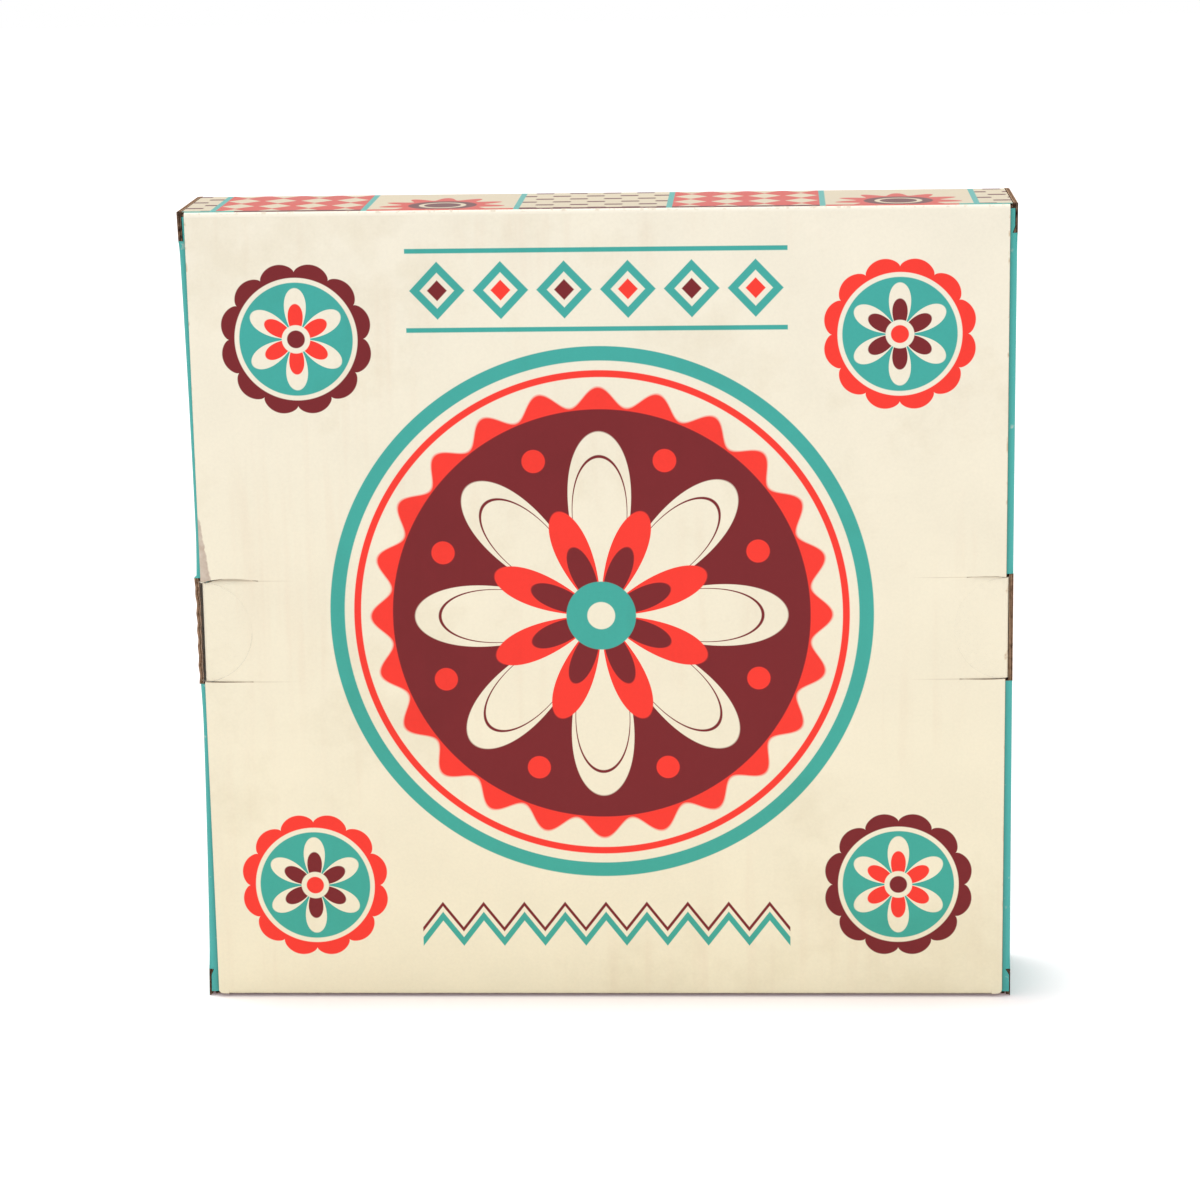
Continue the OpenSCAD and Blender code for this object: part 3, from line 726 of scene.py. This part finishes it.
for name, sx in (("wall_seal_right", 1), ("wall_seal_left", -1)):
    bm = bmesh.new()
    bmesh.ops.create_grid(bm, x_segments=40, y_segments=40, size=1)
    upper = bmesh.ops.extrude_face_region(bm, geom=list(bm.faces), use_keep_orig=True)["geom"]
    upper = {p for p in upper if isinstance(p, bmesh.types.BMVert)}
    for p in bm.verts:
        run = (p.co.x + 1) / 2 * seal_r
        v = tab_z + p.co.y * math.sqrt(max(1e-9, seal_r * seal_r - run * run))
        x, y = wrap_path(start + run, -0.00006 if p in upper else -0.00002)
        p.co = bowed(x, y, v, min(1, (start + run - crease_in) / (crease_out - crease_in)))
        p.co.x *= -sx
    bmesh.ops.recalc_face_normals(bm, faces=bm.faces)
    for f in bm.faces:
        f.smooth = True
    seal = mesh_piece(name, bm, seal_film)
    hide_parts("wall_seals")
    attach(seal, "carton")


# ---------------------------------------------------------------- tray
# A square wooden tray lies in the carton with its open side towards the lid: red painted
# rails with cream inner faces round a plywood floor, and four crossed cream inner walls.
deck_y = base_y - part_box("felt")[1][1] + base_y
tray_z = (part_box("frame_rails")[0][2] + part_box("frame_rails")[1][2]) / 2
well_x = -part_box("cross_walls")[0][0] + 0.0005


def grain(at, scale, along):
    """Wood figure: long fibres stretched along one axis, 0 to 1."""
    stretch = [scale] * 3
    stretch[along] = scale * 0.04
    wide = at.node("Mapping", {"Vector": at, "Scale": tuple(stretch)})
    warp = wide.noise(1.0, 4.0, Distortion=0.6)
    return warp.maths("MULTIPLY", 14.0).maths("SINE") * 0.5 + 0.5, wide.noise(6.0, 3.0)


red_paint, at, flat, shader = surface("red_paint", Coat_Weight=0.25, Coat_Roughness=0.2)
x, y, z = at.xyz()
out = abs(x) | abs(z - tray_z)
figure, pore = grain(at, 55.0, 0)
inside = out.within(well_x + 0.0009, 0.0002)
ink = (pore * 0.3 + figure * 0.1).mix(rgb(214, 44, 36), rgb(188, 30, 28))
ink = inside.mix(ink, pore.mix(rgb(244, 236, 212), rgb(230, 218, 190)))
edge = (abs(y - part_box("frame_rails")[0][1] - 0.0004).within(0.0009, 0.0006)
        * (abs(out - well_x - 0.001).within(0.0008, 0.0004)
           | abs(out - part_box("frame_rails")[1][0] + 0.0012).within(0.001, 0.0006)))
ink = (edge * (0.62 - at.noise(200.0, 6.0)).within(0.0, 0.05)).mix(ink, rgb(206, 150, 104))
dress(red_paint, shader, Base_Color=ink, Roughness=at.noise(90.0) * 0.2 + 0.28,
      height=pore * 0.00008 + figure * 0.00003)

cream_paint, at, flat, shader = surface("cream_paint", Coat_Weight=0.15, Coat_Roughness=0.25)
x, y, z = at.xyz()
figure, pore = grain(at, 60.0, 0)
mark = (0.66 - at.noise(190.0, 6.0)).within(0.0, 0.05)
ink = (pore * 0.5 + figure * 0.15).mix(rgb(246, 238, 216), rgb(226, 212, 182))
rim = abs(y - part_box("cross_walls")[0][1]).within(0.0003, 0.0003)
ink = (rim * mark).mix(ink, rgb(214, 190, 152))
dress(cream_paint, shader, Base_Color=ink, Roughness=at.noise(70.0) * 0.2 + 0.34,
      height=pore * 0.00007 + figure * 0.00003)

raw_ply, at, flat, shader = surface("raw_ply", Specular_IOR_Level=0.3)
figure, pore = grain(at, 40.0, 2)
veneers = (at.xyz()[1] * 2200.0).maths("SINE") * 0.5 + 0.5
ink = (figure * 0.4 + pore * 0.4 + veneers * 0.1).mix(rgb(226, 196, 150), rgb(176, 134, 88))
dress(raw_ply, shader, Base_Color=ink, Roughness=pore * 0.15 + 0.6, height=pore * 0.0001)

felt_cloth, at, flat, shader = surface("felt_cloth", Sheen_Weight=0.6, Sheen_Roughness=0.6,
                                       Specular_IOR_Level=0.1)
fuzz = at.noise(1400.0, 4.0)
tufts = at.noise(260.0, 3.0, Distortion=1.2)
ink = (fuzz * 0.6 + tufts * 0.5 + at.noise(14.0) * 0.3 - 0.2).mix(rgb(88, 20, 30), rgb(132, 44, 54))
dress(felt_cloth, shader, Base_Color=ink, Roughness=fuzz * 0.1 + 0.88,
      height=fuzz * 0.00018 + tufts * 0.0001)

drawn_steel, at, flat, shader = surface("drawn_steel", Metallic=1.0)
streak = at.node("Mapping", {"Vector": at, "Scale": (40.0, 900.0, 40.0)}).noise(1.0, 3.0)
dress(drawn_steel, shader, Base_Color=streak.mix(rgb(150, 148, 142), rgb(204, 202, 196)),
      Roughness=streak * 0.2 + 0.22, height=streak * 0.00001)

for node, made in (("frame_rails", red_paint), ("cross_walls", cream_paint),
                   ("long_walls", cream_paint), ("floor_board", raw_ply),
                   ("felt", felt_cloth), ("rods", drawn_steel)):
    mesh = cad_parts[node].data
    mesh.materials.clear()
    mesh.materials.append(made)

# ---------------------------------------------------------------- number tiles
# Forty number tiles on their rods: cream paint on top and sides, red underneath, which shows
# when a tile is shut; the grain runs along each tile and the edges are a little rubbed.
_, tile_low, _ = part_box("top_tile_1")[1]
tile_paint, at, flat, shader = surface("tile_paint", Coat_Weight=0.2, Coat_Roughness=0.2)
x, y, z = at.xyz()
figure, pore = grain(at, 90.0, 1)
ink = (pore * 0.5 + figure * 0.2).mix(rgb(247, 240, 220), rgb(230, 216, 188))
under = (tile_low - y).within(0.0007, 0.0001)
ink = under.mix(ink, pore.mix(rgb(222, 50, 40), rgb(196, 34, 30)))
rim = (abs(tile_low - y - 0.00752).within(0.0003, 0.0001)
       * (0.58 - at.noise(260.0, 6.0)).within(0.0, 0.05))
ink = rim.mix(ink, rgb(216, 190, 150))
dress(tile_paint, shader, Base_Color=ink, Roughness=at.noise(120.0) * 0.2 + 0.3, height=pore * 0.00006)

number_ink, at, flat, shader = surface("number_ink", Specular_IOR_Level=0.3)
wear = at.noise(700.0, 4.0)
dress(number_ink, shader, Base_Color=wear.mix(rgb(112, 34, 42), rgb(140, 50, 56)),
      Roughness=wear * 0.2 + 0.4, height=wear * 0.00002)

figures = {}
for n in range(1, 11):
    curve = bpy.data.curves.new(f"figure_{n}", "FONT")
    curve.body = str(n)
    curve.size = 0.0165
    curve.align_x = curve.align_y = "CENTER"
    curve.offset = 0.00022
    curve.extrude = 0.00003
    made = bpy.data.objects.new(f"figure_{n}", curve)
    figures[n] = bpy.data.meshes.new_from_object(made)
    bpy.data.objects.remove(made)
rows = ("top", "right", "bottom", "left")
for k, row in enumerate(rows):
    for n in range(1, 11):
        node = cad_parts[f"{row}_tile_{n}"]
        node.data.materials.clear()
        node.data.materials.append(tile_paint)
        low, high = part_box(f"{row}_tile_{n}")
        middle = (Vector(low) + Vector(high)) / 2
        turn = Matrix.Rotation(-math.pi / 2 * k, 4, "Z") @ Matrix.Rotation(math.pi, 4, "Z")
        outwards = Vector(((0, 1), (1, 0), (0, -1), (-1, 0))[k])
        bm = bmesh.new()
        bm.from_mesh(figures[n])
        narrow = 0.78 if n == 10 else 1.0
        for p in bm.verts:
            q = turn @ Vector((p.co.x * narrow, p.co.y, p.co.z))
            q = q + Vector((*(outwards * 0.008), 0))
            p.co = (middle.x + q.x, low[1] - 0.00002 - q.z, middle.z + q.y)
        bmesh.ops.recalc_face_normals(bm, faces=bm.faces)
        number = mesh_piece(f"{row}_number_{n}", bm, number_ink)
        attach(number, f"{row}_tile_{n}")

# ---------------------------------------------------------------- dice
# Two wooden dice: cubes with ball-rounded corners and dimpled pips, opposite faces adding to
# seven, in cream enamel with maroon pips.
die_paint, at, flat, shader = surface("die_paint", Coat_Weight=0.5, Coat_Roughness=0.12)
pip = at.node("Attribute", attribute_name="pip", output=2)
tone = at.noise(90.0)
ink = (0.0 - pip).within(0.0, 0.04).mix(tone.mix(rgb(246, 240, 222), rgb(232, 222, 196)), rgb(122, 36, 44))
dress(die_paint, shader, Base_Color=ink, Roughness=tone * 0.12 + 0.2, height=at.noise(500.0) * 0.00001)

spots = {1: [(0, 0)], 2: [(-1, -1), (1, 1)], 3: [(-1, -1), (0, 0), (1, 1)],
         4: [(-1, -1), (1, 1), (-1, 1), (1, -1)], 5: [(-1, -1), (1, 1), (-1, 1), (1, -1), (0, 0)],
         6: [(-1, -1), (1, 1), (-1, 1), (1, -1), (-1, 0), (1, 0)]}
for name, shown in (("die_1", (5, 4, 1)), ("die_2", (6, 2, 3))):
    low, high = [Vector(c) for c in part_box(name)]
    middle, half = (low + high) / 2, (high.x - low.x) / 2
    bm = bmesh.new()
    bmesh.ops.create_cube(bm, size=2 * half)
    bmesh.ops.subdivide_edges(bm, edges=bm.edges[:], cuts=43, use_grid_fill=True)
    layer = bm.verts.layers.float.new("pip")
    for p in bm.verts:
        axis = max(range(3), key=lambda k: abs(p.co[k]))
        side = 1 if p.co[axis] > 0 else -1
        value = shown[(1, 2, 0).index(axis)]
        value = value if (side < 0) == (axis == 1) else 7 - value
        a, b = [p.co[k] for k in range(3) if k != axis]
        near = min(math.hypot(a - 0.0040 * i, b - 0.0040 * j) for i, j in spots[value])
        p[layer] = (0.00155 - near) * 1000
        q = p.co.copy()
        if q.length > half * 1.42:
            q *= half * 1.42 / q.length
        if near < 0.0017:
            q[axis] -= side * 0.0006 * (1 - (near / 0.0017) ** 2)
        p.co = q + middle
    for f in bm.faces:
        f.smooth = True
    for e in bm.edges:
        e.smooth = e.calc_face_angle(0) < 0.6
    bmesh.ops.recalc_face_normals(bm, faces=bm.faces)
    die = mesh_piece(name + "_rounded", bm, die_paint)
    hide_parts(name)
    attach(die, name)
